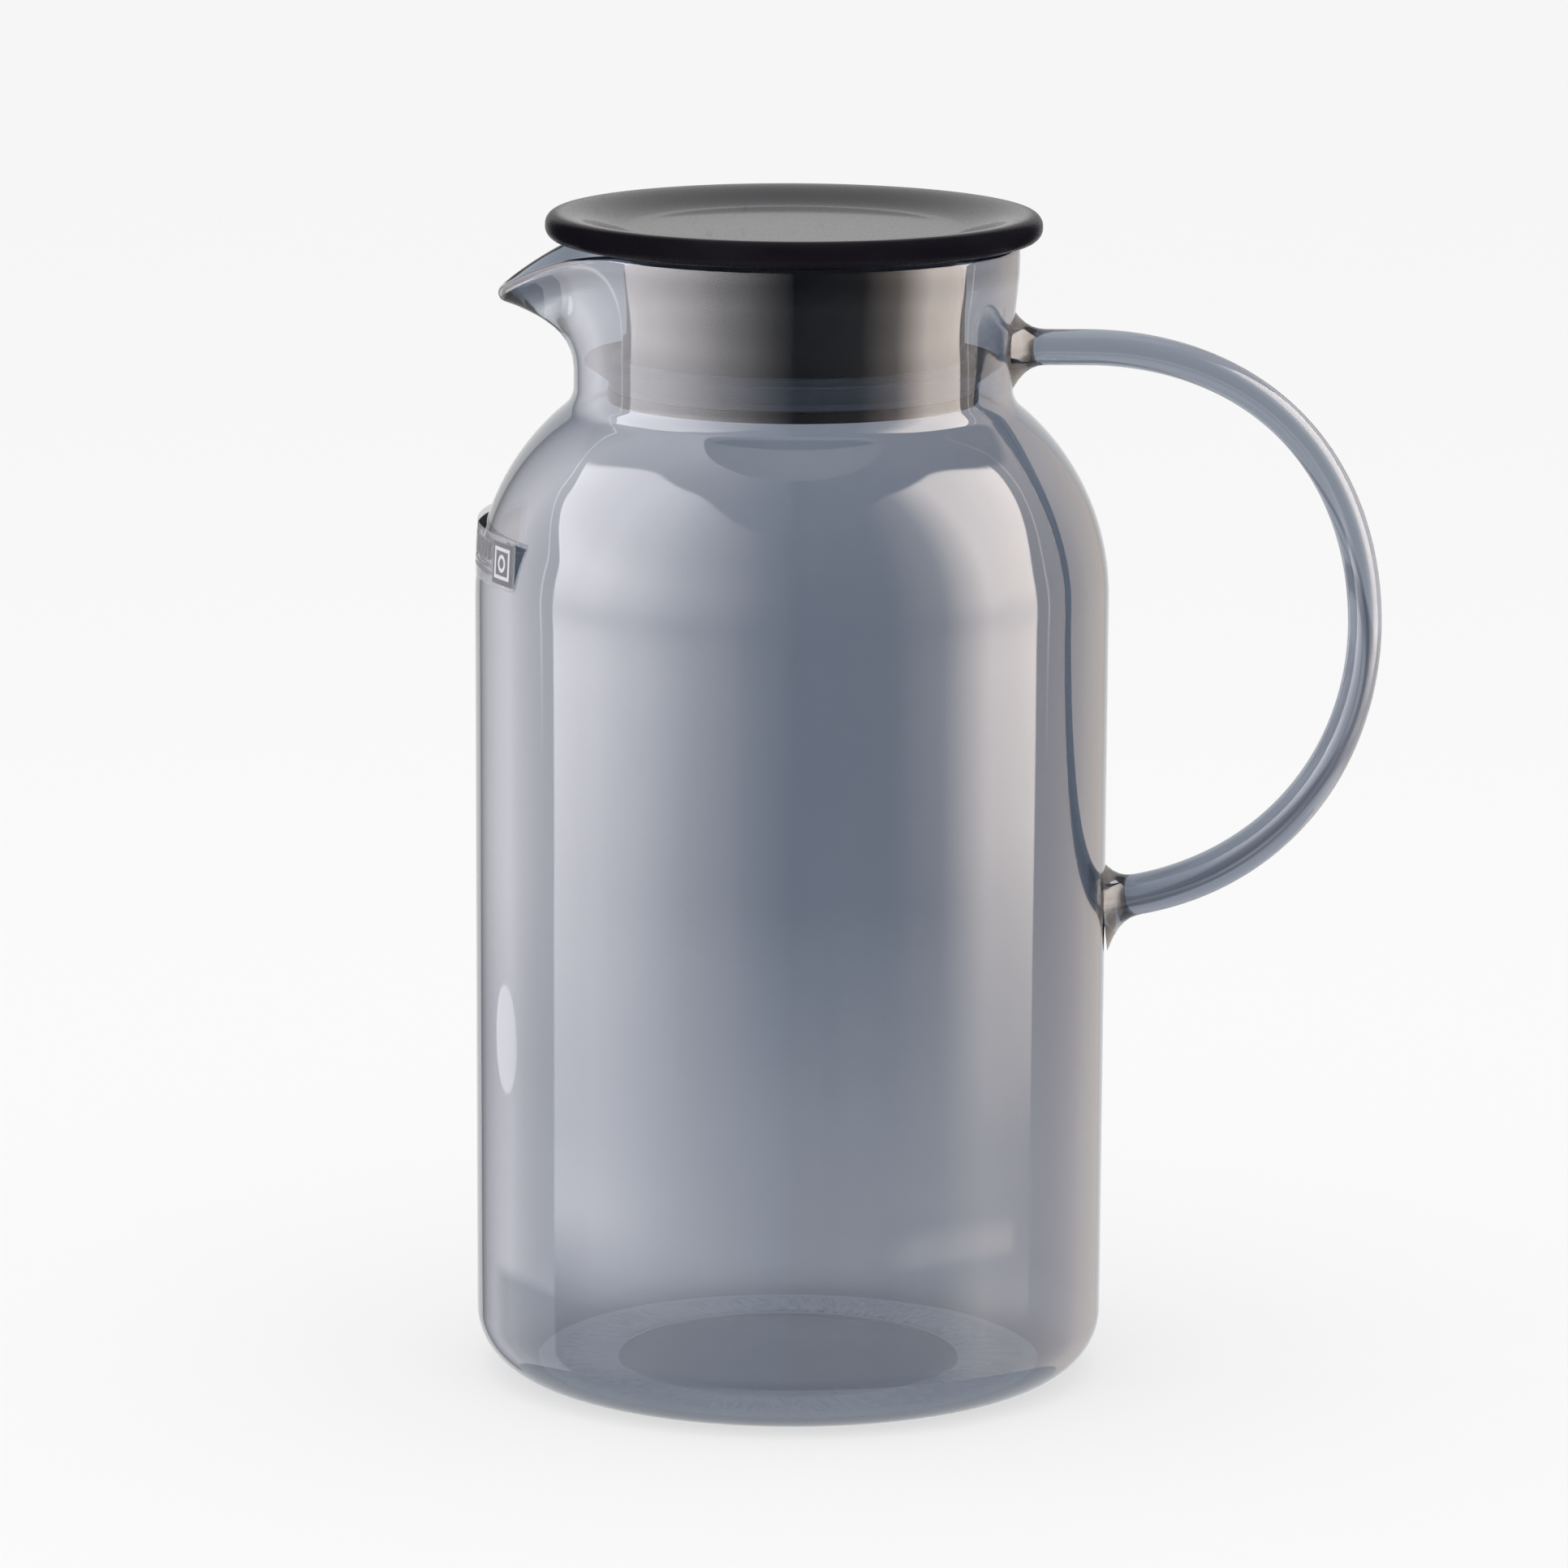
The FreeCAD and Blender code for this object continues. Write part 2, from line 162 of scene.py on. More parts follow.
def shell_section(turn):
    """A closed section of the glass at this angle: outer face, rim bead, and inner face."""
    reach = spout_reach(abs(math.pi - turn))
    outer = pulled(glass_outline, reach)
    inner = []
    for i, (radius, height) in enumerate(outer):
        before, after = outer[max(i - 1, 0)], outer[min(i + 1, len(outer) - 1)]
        rise_x, rise_z = after[0] - before[0], after[1] - before[1]
        length = math.hypot(rise_x, rise_z)
        stretch = eased((radius - glass_outline[i][0]) / spout_nose)
        thick = wall_at(glass_outline[i][1]) * (1.0 - spout_thinning * stretch)
        beaded = eased((glass_outline[i][1] - bead_start)
                       / (rim_height - rim_thickness - bead_start))
        thick += (rim_thickness + spout_bead * stretch - thick) * beaded
        inner.append((max(radius - thick * rise_z / length, 0.0),
                      height + thick * rise_x / length))
    (x0, z0), (x1, z1) = outer[-1], inner[-1]
    middle = ((x0 + x1) / 2, (z0 + z1) / 2)
    half = math.hypot(x0 - x1, z0 - z1) / 2
    lean = math.atan2(z0 - z1, x0 - x1)
    bead = arc(middle, half, lean, lean + math.pi, 10)[:-1]
    return outer + bead + inner[::-1]


def turned_mesh(name, section_at, turns):
    """Joins the sections at these angles into one closed skin. A section starts and ends on the
    axis, or is a closed loop clear of it, and faces outwards when it runs up on the outside."""
    columns = [section_at(turn) for turn in turns]
    count = len(columns[0])
    on_axis = columns[0][0][0] < 1e-7
    verts, index = [], []
    for turn, column in zip(turns, columns):
        row = []
        for i, (radius, height) in enumerate(column):
            if on_axis and i in (0, count - 1) and index:
                row.append(index[0][i])
                continue
            row.append(len(verts))
            verts.append((radius * math.cos(turn), radius * math.sin(turn), height))
        index.append(row)
    faces = []
    for k, row in enumerate(index):
        following = index[(k + 1) % len(index)]
        for i in range(count - 1 if on_axis else count):
            j = (i + 1) % count
            corners = [row[i], following[i], following[j], row[j]]
            faces.append(list(dict.fromkeys(corners)))
    mesh = bpy.data.meshes.new(name)
    mesh.from_pydata(verts, [], faces)
    mesh.validate()
    mesh.shade_smooth()
    return mesh


def new_piece(name, mesh, material):
    piece = bpy.data.objects.new(name, mesh)
    bpy.context.scene.collection.objects.link(piece)
    mesh.materials.clear()
    mesh.materials.append(material)
    return piece


class Wire:
    """A value in a node tree. Arithmetic on wires adds Math nodes to the same tree."""

    def __init__(self, tree, socket):
        self.tree, self.socket = tree, socket

    def maths(self, operation, *others):
        return self.tree.add("ShaderNodeMath", {"operation": operation},
                             dict(enumerate((self, *others))))

    def __add__(self, other):
        return self.maths("ADD", other)

    def __sub__(self, other):
        return self.maths("SUBTRACT", other)

    def __rsub__(self, other):
        return (self * -1.0) + other

    def __mul__(self, other):
        return self.maths("MULTIPLY", other)

    def __truediv__(self, other):
        return self.maths("DIVIDE", other)

    def __pow__(self, other):
        return self.maths("POWER", other)

    def __mod__(self, other):
        return self.maths("FLOORED_MODULO", other)

    def __abs__(self):
        return self.maths("ABSOLUTE")

    __radd__ = __add__
    __rmul__ = __mul__


class Tree:
    """A material's or a modifier's node tree, built up node by node."""

    def __init__(self, nodes):
        self.nodes = nodes
        self.nodes.nodes.clear()

    def add(self, kind, settings=None, sockets=None, output=0):
        """Makes a node: its settings first, then its sockets' values or wires."""
        node = self.nodes.nodes.new(kind)
        for key, value in (settings or {}).items():
            if key == "stops":
                ramp = node.color_ramp.elements
                while len(ramp) < len(value):
                    ramp.new(1.0)
                for element, (place, colour) in zip(ramp, value):
                    element.position = place
                    element.color = (*colour, 1.0)
            else:
                setattr(node, key, value)
        for key, value in (sockets or {}).items():
            if isinstance(value, Wire):
                self.nodes.links.new(value.socket, node.inputs[key])
            else:
                node.inputs[key].default_value = value
        return Wire(self, node.outputs[output]) if len(node.outputs) else node

    def position(self, scale=(1.0, 1.0, 1.0)):
        """Object coordinates in millimetres, stretched by scale."""
        place = self.add("ShaderNodeTexCoord", output=3)
        return self.add("ShaderNodeMapping", {},
                        {"Vector": place, "Scale": [s / MM for s in scale]})

    def parts(self, vector):
        """The three numbers of a vector."""
        split = self.add("ShaderNodeSeparateXYZ", {}, {0: vector}).socket.node
        return [Wire(self, socket) for socket in split.outputs]

    def noise(self, vector, scale, detail=2.0):
        return self.add("ShaderNodeTexNoise", {},
                        {"Vector": vector, "Scale": scale, "Detail": detail})

    def ramp(self, value, low, high, first=0.0, last=1.0):
        """first where value is low, last where it is high, and a smooth change between."""
        return self.add("ShaderNodeMapRange", {"interpolation_type": "SMOOTHSTEP"},
                        {0: value, 1: low, 2: high, 3: first, 4: last})

    def mixed(self, factor, first, second):
        """A colour between two colours."""
        return self.add("ShaderNodeMix", {"data_type": "RGBA"},
                        {0: factor, 6: (*first, 1.0) if isinstance(first, tuple) else first,
                         7: (*second, 1.0) if isinstance(second, tuple) else second}, 2)

    def bump(self, height, depth):
        """A normal from a height between 0 and 1; depth is how deep it is, in metres."""
        return self.add("ShaderNodeBump", {}, {"Height": height, "Distance": depth})

    def surface(self, sockets, volume=None):
        """The tree's Principled surface, joined to its output."""
        shader = self.add("ShaderNodeBsdfPrincipled", {}, sockets)
        ends = {"Surface": shader}
        if volume is not None:
            ends["Volume"] = volume
        self.add("ShaderNodeOutputMaterial", {}, ends)


def new_material(name):
    material = bpy.data.materials.new(name)
    material.use_nodes = True
    return material, Tree(material.node_tree)


# what the smoke tint leaves of the light, how strongly it takes out the rest, per metre, and
# the darker colour of the body's real streaks and of the rod's painted line of shade
tint_colour = (0.293, 0.357, 0.45)
streak_and_shade_colour = (0.4, 0.4, 0.44)
body_density = 600.0


def smoke_glass(name, wave_depth, density, streaks_and_shade):
    """Clear-surfaced glass, tinted through, with the slow waves that blowing leaves. Its last
    argument makes the value that is 1 where the glass is drawn darker: faint real streaks in the
    body, and a painted line of shade along the handle's rod."""
    material, tree = new_material(name)
    slow = tree.noise(tree.position((0.03, 0.03, 0.012)), 1.0, 1.0)
    film = tree.noise(tree.position((0.05, 0.05, 0.02)), 1.0, 4.0)
    clear = tree.mixed(tree.ramp(film, 0.35, 0.75), (1.0, 1.0, 1.0), (0.965, 0.967, 0.98))
    tree.surface({
        "Base Color": tree.mixed(streaks_and_shade(tree), clear, streak_and_shade_colour),
        "Roughness": tree.ramp(film, 0.35, 0.8, 0.0, 0.003),
        "IOR": 1.5,
        "Transmission Weight": 1.0,
        "Normal": tree.bump(slow, wave_depth),
    }, tree.add("ShaderNodeVolumeAbsorption", {},
                {"Color": (*tint_colour, 1.0), "Density": density}))
    return material


def body_cords(tree):
    """A few faint streaks that run up the blown side."""
    streaks = tree.noise(tree.position((0.12, 0.12, 0.004)), 1.0, 1.0)
    return tree.ramp(streaks, 0.62, 0.8, 0.0, 0.05)


# the sections stand closer together round the spout, which is at half a turn
body_turns = [u + 0.5 * math.sin(u) for u in (math.tau * step / 360 for step in range(360))]
glass_outline = body_outline()
glass_shell = new_piece("glass_shell", turned_mesh("glass_shell", shell_section, body_turns),
                        smoke_glass("smoke_glass_body", 0.25 * MM, body_density, body_cords))
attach(glass_shell, "jug")
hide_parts("glass_body")

# ---- handle -------------------------------------------------------------------------------
# The handle is a solid rod of the same glass, bent hot into a half circle. Its softened ends are
# pressed on to the neck and the wall, where the glass spreads into a trumpet-shaped weld.
rod_radius = 3.35 * MM
bend_radius = 55.18 * MM
bend_centre = (57.8 * MM, 149.8 * MM)
upper_fullness, lower_fullness = 1.25 * MM, 0.6 * MM
upper_weld = 7.6 * MM
lower_weld = 7.7 * MM
weld_reach = 7.0 * MM
weld_curve = 2.6
upper_sag, lower_sag = 0.12, 0.45
top_swell, foot_swell = 0.06, 0.22
weld_sink = 0.15 * MM
rod_sides = 48
handle_density = 280.0
# the painted dark line of shade in the rod: where it starts and ends above the bend's centre,
# and how far outside the rod's middle it is at each, in millimetres
shade_line_start, shade_line_end = -25.0, 52.0
shade_line_start_out, shade_line_end_out = 1.3, -2.5
shade_line_gap = 1.1


def handle_path():
    """The rod's centre line in the XZ plane: out of the neck, round, and in to the wall. The bend
    is a little fuller above and below its middle than a true half circle."""
    centre_x, centre_z = bend_centre
    top = centre_z + bend_radius
    start = (neck_radius - weld_sink, top)
    end_turn = math.asin((body_radius - weld_sink - centre_x) / bend_radius) - math.pi / 2
    run = [start] + straight(start, (centre_x, top), 12)
    for x, z in arc((0.0, 0.0), 1.0, math.pi / 2, end_turn, 150):
        fullness = upper_fullness if z > 0.0 else lower_fullness
        radius = bend_radius + fullness * (2.0 * x * z) ** 2
        run.append((centre_x + radius * x, centre_z + radius * z))
    return run


def rod_modifier(piece, sizes, material):
    """Geometry Nodes: a round rod along the piece's curve, spread at both of its ends."""
    group = bpy.data.node_groups.new("glass rod", "GeometryNodeTree")
    face = group.interface
    face.new_socket("Geometry", in_out="INPUT", socket_type="NodeSocketGeometry")
    for label in sizes:
        face.new_socket(label, in_out="INPUT", socket_type="NodeSocketFloat")
    face.new_socket("Geometry", in_out="OUTPUT", socket_type="NodeSocketGeometry")
    tree = Tree(group)
    inputs = tree.add("NodeGroupInput").socket.node
    line, rod, upper, lower, reach, top, foot = [
        Wire(tree, socket) for socket in inputs.outputs[:7]]
    place = tree.add("GeometryNodeSplineParameter", output=1)
    length = tree.add("GeometryNodeSplineLength")
    share = place / length
    rod = rod * (1.0 + top * tree.ramp(share, 0.1, 0.45, 1.0, 0.0)
                 + foot * tree.ramp(share, 0.57, 0.92))
    spread = rod
    for gap, weld in ((place, upper), (length - place, lower)):
        near = tree.add("ShaderNodeClamp", {}, {0: 1.0 - gap / reach})
        spread = spread + (weld - rod) * (near ** weld_curve)
    ring = tree.add("GeometryNodeCurvePrimitiveCircle", {},
                    {"Resolution": rod_sides, "Radius": 1.0})
    skin = tree.add("GeometryNodeCurveToMesh", {},
                    {"Curve": line, "Profile Curve": ring, "Scale": spread, "Fill Caps": True})
    skin = tree.add("GeometryNodeRealizeInstances", {}, {0: skin})
    skin = tree.add("GeometryNodeSetMaterial", {}, {"Geometry": skin, "Material": material})
    tree.add("NodeGroupOutput", {}, {0: skin})
    modifier = piece.modifiers.new("glass rod", "NODES")
    modifier.node_group = group
    for item in face.items_tree:
        if item.in_out == "INPUT" and item.name in sizes:
            modifier[item.identifier] = sizes[item.name]


def made_plain(piece):
    """The piece with its modifiers made into a plain mesh, and taken off."""
    bpy.context.view_layer.update()
    graph = bpy.context.evaluated_depsgraph_get()
    mesh = bpy.data.meshes.new_from_object(piece.evaluated_get(graph), depsgraph=graph)
    mesh.name = piece.name
    plain = bpy.data.objects.new(piece.name + "_mesh", mesh)
    bpy.context.scene.collection.objects.link(plain)
    name = piece.name
    bpy.data.objects.remove(piece)
    plain.name = name
    return plain


def rod_shade_lines(tree):
    """A painted dark line of shade and a fainter one beside it, drawn out along the rod and slowly
    across it, for the dark lines that the rod's round glass shows by refraction.
    """
    x, _, z = tree.parts(tree.position())
    out = (x - bend_centre[0] / MM).maths("MAXIMUM", 0.0)
    rise = z - bend_centre[1] / MM
    across = (out ** 2.0 + rise ** 2.0) ** 0.5 - bend_radius / MM
    line = tree.ramp(rise, shade_line_start, shade_line_end, shade_line_start_out, shade_line_end_out)
    return (tree.ramp(abs(across - line), 0.18, 0.42, 1.0, 0.0)
            + tree.ramp(abs(across - line + shade_line_gap), 0.05, 0.25, 0.55, 0.0))


rod_curve = bpy.data.curves.new("handle_rod", "CURVE")
rod_curve.dimensions = "3D"
rod_line = rod_curve.splines.new("POLY")
rod_points = handle_path()
rod_line.points.add(len(rod_points) - 1)
for point, (x, z) in zip(rod_line.points, rod_points):
    point.co = (x, 0.0, z, 1.0)
handle_rod = bpy.data.objects.new("handle_rod", rod_curve)
bpy.context.scene.collection.objects.link(handle_rod)
# the handle's glass has a painted dark line of shade drawn along the rod
handle_glass = smoke_glass("smoke_glass_handle", 0.03 * MM, handle_density, rod_shade_lines)
rod_modifier(handle_rod, {"Rod Radius": rod_radius, "Upper Weld": upper_weld,
                          "Lower Weld": lower_weld, "Weld Reach": weld_reach,
                          "Top Swell": top_swell, "Foot Swell": foot_swell}, handle_glass)
handle_rod = made_plain(handle_rod)
# each weld wraps round the wall that it is pressed on, and its lower side sags
for radius, axis_height, sag in ((neck_radius, rod_points[0][1], upper_sag),
                                 (body_radius, rod_points[-1][1], lower_sag)):
    for vertex in handle_rod.data.vertices:
        x, y, z = vertex.co
        near = 1.0 - (x - radius) / weld_reach
        if near <= 0.0 or abs(z - axis_height) > 2 * lower_weld or x < radius - MM:
            continue
        near = min(near, 1.0)
        vertex.co.x -= (radius - math.sqrt(radius ** 2 - y ** 2)) * near
        if z < axis_height:
            vertex.co.z = axis_height + (z - axis_height) * (1.0 + sag * near ** 2)
handle_rod.data.shade_smooth()
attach(handle_rod, "jug")
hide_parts("glass_handle")

# ---- side label ---------------------------------------------------------------------------
# The label is a strip of clear film stuck round the spout side of the shoulder. Its lower edge
# holds; the upper edge stands off where the glass curves in. It is printed in dark grey.
label_low, label_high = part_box("side_label")
label_thickness = 0.15 * MM
label_lean = 0.5 * MM
label_near = math.radians(30.2)
label_far = math.radians(-25.5)
label_corner = 1.2 * MM
film_colour = (0.6, 0.61, 0.64)
ink_colour = (0.045, 0.045, 0.052)
# the print's places: round the jug in degrees from the spout, and up from the strip's lower edge
# in millimetres
block_start, block_end, block_low, block_high = 20.6, 29.4, 0.9, 9.2
square_start, square_end, square_low, square_high = 21.6, 28.2, 2.0, 8.2
square_width = 0.7
ring_height, ring_inner, ring_outer = 5.1, 1.0, 1.75
bars_start, bars_end = 2.0, 18.5
bar_pitch = 0.36


def label_mesh():
    """A thin curved strip with rounded corners, laid on its cone round the jug."""
    across, up = 80, 10
    middle = (label_low.z + label_high.z) / 2
    half = (label_high.z - label_low.z) / 2
    verts, faces = [], []
    for inset in (0.0, label_thickness):
        for i in range(across + 1):
            turn = label_far + (label_near - label_far) * i / across
            edge = min(i, across - i) / across * (label_near - label_far) * body_radius
            short = label_corner - math.sqrt(
                max(label_corner ** 2 - max(label_corner - edge, 0.0) ** 2, 0.0))
            for j in range(up + 1):
                height = middle + (half - short) * (2.0 * j / up - 1.0)
                lean = label_lean * (height - label_low.z) / (2 * half)
                radius = body_radius - lean - inset
                verts.append((-radius * math.cos(turn), -radius * math.sin(turn), height))
    row = up + 1
    back = (across + 1) * row
    for i in range(across):
        for j in range(up):
            a = i * row + j
            faces.append((a, a + row, a + row + 1, a + 1))
            faces.append((back + a, back + a + 1, back + a + row + 1, back + a + row))
    loop = [i * row for i in range(across + 1)]
    loop += [across * row + j for j in range(1, up + 1)]
    loop += [i * row + up for i in range(across - 1, -1, -1)]
    loop += [j for j in range(up - 1, 0, -1)]
    for a, b in zip(loop, loop[1:] + loop[:1]):
        faces.append((b, a, back + a, back + b))
    mesh = bpy.data.meshes.new("label_film")
    mesh.from_pydata(verts, [], faces)
    mesh.validate()
    return mesh


def label_print():
    """Clear film with a dark printed block, a ring emblem in a frame, and a few plain bars."""
    material, tree = new_material("label_film")
    x, y, z = tree.parts(tree.position())
    turn = (y * -1.0).maths("ARCTAN2", x * -1.0) * (180.0 / math.pi)
    height = z - label_low.z / MM

    def band(value, low, high, soft):
        return (tree.ramp(value, low - soft, low + soft)
                * tree.ramp(value, high - soft, high + soft, 1.0, 0.0))

    def area(left, right, low, high):
        return band(turn, left, right, 0.12) * band(height, low, high, 0.12)

    block = area(block_start, block_end, block_low, block_high)
    square_band = area(square_start, square_end, square_low, square_high) - area(
        square_start + square_width, square_end - square_width,
        square_low + square_width, square_high - square_width)
    middle = (square_start + square_end) / 2
    across = (turn - middle) * (body_radius / MM * math.pi / 180.0)
    away = (across ** 2.0 + (height - ring_height) ** 2.0) ** 0.5
    emblem = square_band + band(away, ring_inner, ring_outer, 0.1)
    bars = area(bars_start, bars_end, 4.6, 8.4) * band(turn * bar_pitch % 1.0, 0.15, 0.8, 0.06)
    lines = area(bars_start, 17.0, 3.2, 3.7) + area(bars_start, bars_end, 1.9, 2.4)
    far_print = area(-23.0, -2.0, 1.4, 8.8) * tree.ramp(abs(height - 5.0), 1.2, 1.6, 0.35, 0.9)
    ink = tree.add("ShaderNodeClamp", {}, {0: block - emblem * 0.9 + bars + lines + far_print})
    shown = tree.add("ShaderNodeClamp", {}, {0: block + bars + lines + far_print + 0.2})
    grain = tree.noise(tree.position(), 3.0, 3.0)
    tree.surface({
        "Base Color": tree.mixed(ink, film_colour, ink_colour),
        "Roughness": tree.ramp(grain, 0.3, 0.7, 0.4, 0.55),
        "Specular IOR Level": 0.15,
        "Alpha": shown,
        "Normal": tree.bump(grain, 0.01 * MM),
    })
    return material


label_film = new_piece("label_film", label_mesh(), label_print())
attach(label_film, "jug")
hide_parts("side_label")

# ---- lid plug -----------------------------------------------------------------------------
# The plug is a skirt moulded in dark smoke plastic that hangs into the neck. It has a wide pour
# window on the spout side, strainer slits on the handle side, and a flange that holds the seal.
plug_low, plug_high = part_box("lid_plug")
flange_radius = plug_high.x
plug_radius = 33.5 * MM
plug_wall = 1.9 * MM
flange_height = 2.3 * MM
edge_round = 0.4 * MM
window_width = 18.0 * MM
window_low, window_high = 206.5 * MM, 221.5 * MM
slit_width = 2.2 * MM
slit_pitch = 4.2 * MM
slit_count = 5
top_polish = 0.42
plug_gleam = 0.06


def plug_section(turn):
    """The skirt's section with its mould's small round edges; the same at every angle."""
    bore = plug_radius - plug_wall
    low, high = plug_low.z, plug_high.z
    flange_top = low + flange_height
    r = edge_round
    quarter = math.pi / 2
    points = arc((bore + r, low + r), r, -2 * quarter, -quarter, 4)
    points += arc((flange_radius - r, low + r), r, -quarter, 0.0, 4)
    points += arc((flange_radius - r, flange_top - r), r, 0.0, quarter, 4)
    points += arc((plug_radius + r, flange_top + r), r, 3 * quarter, 2 * quarter, 4)
    points += straight(points[-1], (plug_radius, high), 10)
    points += [(bore, high)]
    points += straight((bore, high), (bore, low + r), 10)
    return points


def dark_plastic(name, colour, shade, gloss, gleam, polished_radius=None):
    """Moulded plastic: a faint flow of the tint, a fine satin grain, and duller scuffs. Where a
    polished_radius is given, in millimetres, it is polished within that of the axis."""
    material, tree = new_material(name)
    flow = tree.noise(tree.position((0.04, 0.04, 0.08)), 1.0, 3.0)
    grain = tree.noise(tree.position(), 2.2, 3.0)
    scuffs = tree.ramp(tree.noise(tree.position((0.6, 0.05, 0.4)), 1.0, 6.0), 0.6, 0.78)
    polish = 0.0
    if polished_radius:
        x, y, _ = tree.parts(tree.position())
        away = (x ** 2.0 + y ** 2.0) ** 0.5
        polish = tree.ramp(away, polished_radius - 1.5, polished_radius + 1.0, top_polish, 0.0)
    tree.surface({
        "Base Color": tree.mixed(tree.ramp(flow, 0.3, 0.7), colour, shade),
        "Roughness": tree.ramp(grain, 0.3, 0.7, gloss * 0.85, gloss * 1.15) + scuffs * 0.06,
        "Specular IOR Level": gleam,
        "Coat Weight": polish,
        "Coat Roughness": 0.07,
        "Normal": tree.bump(grain, 0.004 * MM),
    })
    return material


def cut_modifier(piece, sizes, material):
    """Geometry Nodes: takes the row of strainer slits and the pour window out of the skirt."""
    group = bpy.data.node_groups.new("plug openings", "GeometryNodeTree")
    face = group.interface
    face.new_socket("Geometry", in_out="INPUT", socket_type="NodeSocketGeometry")
    for label, value in sizes.items():
        kind = "NodeSocketInt" if isinstance(value, int) else "NodeSocketFloat"
        face.new_socket(label, in_out="INPUT", socket_type=kind)
    face.new_socket("Geometry", in_out="OUTPUT", socket_type="NodeSocketGeometry")
    tree = Tree(group)
    inputs = tree.add("NodeGroupInput").socket.node
    skirt, count, pitch, width, window, low, high = [
        Wire(tree, socket) for socket in inputs.outputs[:7]]

    def vector(x, y, z):
        return tree.add("ShaderNodeCombineXYZ", {}, {0: x, 1: y, 2: z})

    middle = (low + high) * 0.5
    tall = high - low
    first = (count - 1) * pitch * -0.5
    row = tree.add("GeometryNodeMeshLine", {},
                   {"Count": count, "Start Location": vector(plug_radius, first, middle),
                    "Offset": vector(0.0, pitch, 0.0)})
    slot = tree.add("GeometryNodeMeshCube", {}, {"Size": vector(4 * plug_wall, width, tall)})
    slots = tree.add("GeometryNodeInstanceOnPoints", {}, {"Points": row, "Instance": slot})
    pane = tree.add("GeometryNodeMeshCube", {}, {"Size": vector(8 * plug_wall, window, tall)})
    pane = tree.add("GeometryNodeTransform", {},
                    {"Geometry": pane, "Translation": vector(-plug_radius, 0.0, middle)})
    cutters = tree.add("GeometryNodeJoinGeometry")
    for part in (slots, pane):
        group.links.new(part.socket, cutters.socket.node.inputs[0])
    cutters = tree.add("GeometryNodeRealizeInstances", {}, {0: cutters})
    left = tree.add("GeometryNodeMeshBoolean", {"operation": "DIFFERENCE", "solver": "EXACT"},
                    {"Mesh 1": skirt, "Mesh 2": cutters})
    left = tree.add("GeometryNodeRealizeInstances", {}, {0: left})
    left = tree.add("GeometryNodeSetMaterial", {}, {"Geometry": left, "Material": material})
    tree.add("NodeGroupOutput", {}, {0: left})
    modifier = piece.modifiers.new("plug openings", "NODES")
    modifier.node_group = group
    for item in face.items_tree:
        if item.in_out == "INPUT" and item.name in sizes:
            modifier[item.identifier] = sizes[item.name]


even_turns = [math.tau * step / 180 for step in range(180)]
plug_plastic = dark_plastic("plug_plastic", (0.012, 0.012, 0.013), (0.02, 0.02, 0.022), 0.22,
                            plug_gleam)
plug_skirt = new_piece("plug_skirt", turned_mesh("plug_skirt", plug_section, even_turns),
                       plug_plastic)
cut_modifier(plug_skirt, {"Slit Count": slit_count, "Slit Pitch": slit_pitch,
                          "Slit Width": slit_width, "Window Width": window_width,
                          "Window Bottom": window_low, "Window Top": window_high}, plug_plastic)
plug_skirt = made_plain(plug_skirt)
plug_skirt.data.shade_smooth()
plug_skirt.data.set_sharp_from_angle(angle=math.radians(35.0))
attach(plug_skirt, "lid")
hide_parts("lid_plug")

# ---- seal ---------------------------------------------------------------------------------
# The seal is a ring of smoke-tinted silicone, pushed up over the plug's flange. One thin fin
# leans up and out to wipe the inside of the neck.
seal_low, seal_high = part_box("seal_ring")
fin_radius = seal_high.x
sleeve_radius = 36.2 * MM
seal_bore = plug_radius + 0.1 * MM
fin_root = 199.4 * MM
fin_tip = 202.1 * MM
fin_tip_thickness = 0.8 * MM
fin_root_half = 0.9 * MM
bloom_colour, rubbed_colour = (0.17, 0.2, 0.24), (0.22, 0.25, 0.29)
mould_rings = 18.0


def seal_section(turn):
    """The ring's section: a sleeve with a fin whose edge is round."""
    low, high = seal_low.z, seal_high.z
    points = [(seal_bore, low), (sleeve_radius - 0.3 * MM, low), (sleeve_radius, low + 0.3 * MM)]
    points += straight(points[-1], (sleeve_radius, fin_root - fin_root_half), 3)
    points += straight(points[-1], (fin_radius - 0.4 * MM, fin_tip), 6)
    points += arc((fin_radius - 0.4 * MM, fin_tip + fin_tip_thickness / 2),
                  fin_tip_thickness / 2, -math.pi / 2, math.pi / 2, 6)
    points += straight(points[-1], (sleeve_radius, fin_root + fin_root_half), 6)
    points += straight(points[-1], (sleeve_radius - 0.6 * MM, high - 0.3 * MM), 3)
    points += [(sleeve_radius - 0.9 * MM, high), (seal_bore, high)]
    points += straight(points[-1], (seal_bore, low), 4)[:-1]
    return points


def silicone():
    """Soft silicone: a faint bloom, and rings left by the turned mould."""
    material, tree = new_material("seal_silicone")
    z = tree.parts(tree.position())[2]
    rings = (z * mould_rings).maths("SINE")
    bloom = tree.noise(tree.position((0.15, 0.15, 0.3)), 1.0, 4.0)
    tree.surface({
        "Base Color": tree.mixed(tree.ramp(bloom, 0.3, 0.75), bloom_colour, rubbed_colour),
        "Roughness": tree.ramp(bloom, 0.3, 0.7, 0.34, 0.46),
        "IOR": 1.41,
        "Normal": tree.bump(rings * 0.5 + bloom, 0.02 * MM),
    })
    return material


seal_fin_ring = new_piece("seal_fin_ring", turned_mesh("seal_fin_ring", seal_section, even_turns),
                          silicone())
seal_fin_ring.data.set_sharp_from_angle(angle=math.radians(35.0))
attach(seal_fin_ring, "seal")
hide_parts("seal_ring")

